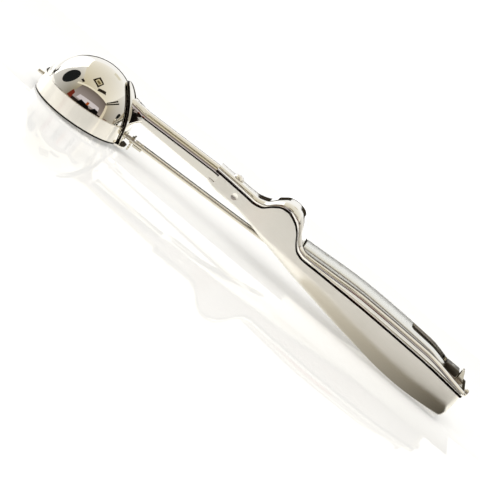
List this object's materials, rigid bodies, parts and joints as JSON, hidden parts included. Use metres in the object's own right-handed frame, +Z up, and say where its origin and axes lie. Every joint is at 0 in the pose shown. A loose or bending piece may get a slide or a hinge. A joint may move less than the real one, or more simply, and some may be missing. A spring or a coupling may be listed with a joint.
{
  "type": "lever ice cream scoop",
  "caption": "Ice cream scoop with a round bowl, a turning scraper driven by a rack and pinion, and a squeeze plate set in a trough-shaped steel handle.",
  "frame": {"origin": "under the middle of the scoop's length, on the surface that the bowl's rim and the handle's belly rest on", "axes": "+X from the bowl to the end of the handle, +Y to the side that the rack is on, +Z up"},
  "size_m": [0.2469, 0.0466, 0.0346],
  "materials": {
    "polished_steel": "mirror-polished stainless steel",
    "satin_steel": "satin brushed stainless steel",
    "plain_steel": "plain bright stainless steel strip",
    "turned_steel": "turned stainless steel",
    "spring_steel": "blued spring steel"
  },
  "bodies": {
    "frame": {"bowl": "polished_steel", "bowl_band": "polished_steel", "bowl_saddle": "polished_steel", "neck": "polished_steel", "shaft": "polished_steel", "shaft_rivet": "turned_steel", "handle_body": "satin_steel", "top_rail": "polished_steel", "pivot_pin": "turned_steel", "pivot_spacers": "turned_steel", "rear_bush": "turned_steel", "leaf_spring": "spring_steel", "rear_bracket": "plain_steel", "spring_clamp": "plain_steel", "clamp_rivet": "turned_steel", "end_rivet": "turned_steel"},
    "lever": {"lever_bar": "plain_steel", "hinge_bracket": "plain_steel", "hinge_rivets": "turned_steel", "grip_plate": "satin_steel", "plate_rivets": "turned_steel", "rack": "plain_steel", "rack_rivets": "turned_steel"},
    "scraper": {"scraper_blade": "polished_steel", "scraper_front_pin": "turned_steel", "scraper_rear_axle": "turned_steel", "pinion": "turned_steel", "pinion_washer": "turned_steel"}
  },
  "joints": [
    {"name": "lever_pivot", "type": "hinge", "parent": "frame", "child": "lever", "pos_m": [0.01103, 0, 0.01651], "axis": [0, 1, 0], "range_deg": [0, 3.45], "stiffness_Nm_per_rad": 2, "springref_deg": -5.73, "deforming": ["leaf_spring"]},
    {"name": "scraper_turn", "type": "hinge", "parent": "frame", "child": "scraper", "pos_m": [-0.09697, 0, 0.00651], "axis": [0.9986, 0, 0.0523], "range_deg": [0, 174]}
  ],
  "couplings": [
    {"joint": "scraper_turn", "follows": "lever_pivot", "ratio": 50.422}
  ]
}
